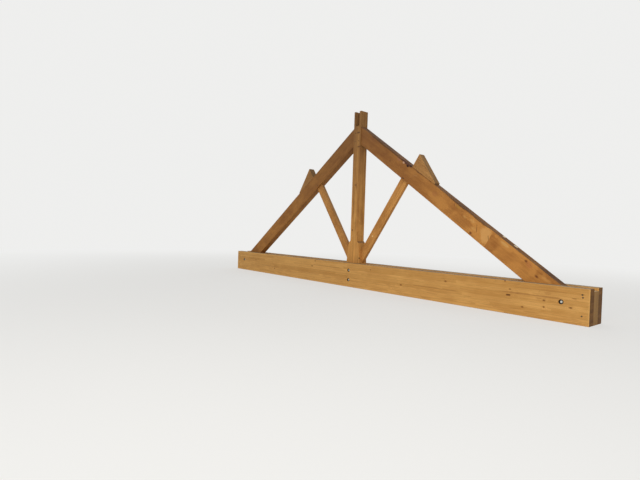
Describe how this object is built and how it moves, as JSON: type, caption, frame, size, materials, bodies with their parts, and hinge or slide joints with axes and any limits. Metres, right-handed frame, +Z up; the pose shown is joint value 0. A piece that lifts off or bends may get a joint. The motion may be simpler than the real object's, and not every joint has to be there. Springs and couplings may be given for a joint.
{
  "type": "wooden roof truss",
  "caption": "King-post roof truss: glued-laminated twin-plank tie, solid rafters, struts, purlin cleats and a post forked for the ridge beam.",
  "frame": {"origin": "middle of the span and of the thickness, at the underside of the tie planks", "axes": "+X along the span towards the right-hand end in the picture, +Y through the truss away from the picture's viewer, +Z up"},
  "size_m": [9.1, 0.44, 3.6454],
  "materials": {
    "glulam": "planed glued-laminated spruce with horizontal glue lines, honey yellow, bare",
    "block_timber": "sawn softwood, bare",
    "rafter_timber": "planed softwood, orange brown, with knots, bare",
    "post_timber": "planed softwood, brown with upright grain and checks, bare",
    "peg_wood": "turned oak, dark, bare",
    "zinc_steel": "zinc-plated steel, dull, clean"
  },
  "bodies": {
    "root": {"tie_plank_front": "glulam", "tie_plank_back": "glulam", "end_block_left": "block_timber", "end_block_right": "block_timber", "purlin_cleat_left": "block_timber", "purlin_cleat_right": "block_timber", "rafter_left": "rafter_timber", "rafter_right": "rafter_timber", "king_post": "post_timber", "strut_left": "post_timber", "strut_right": "post_timber", "rafter_peg_upper_left": "peg_wood", "rafter_peg_upper_right": "peg_wood", "rafter_peg_lower_left": "peg_wood", "rafter_peg_lower_right": "peg_wood", "strut_peg_left": "peg_wood", "strut_peg_right": "peg_wood", "heel_right_bolt": "zinc_steel", "heel_right_washer_front": "zinc_steel", "heel_right_washer_back": "zinc_steel", "heel_right_nut": "zinc_steel", "heel_left_bolt": "zinc_steel", "heel_left_washer_front": "zinc_steel", "heel_left_washer_back": "zinc_steel", "heel_left_nut": "zinc_steel", "post_upper_bolt": "zinc_steel", "post_upper_washer_front": "zinc_steel", "post_upper_washer_back": "zinc_steel", "post_upper_nut": "zinc_steel", "post_lower_bolt": "zinc_steel", "post_lower_washer_front": "zinc_steel", "post_lower_washer_back": "zinc_steel", "post_lower_nut": "zinc_steel"}
  },
  "joints": []
}
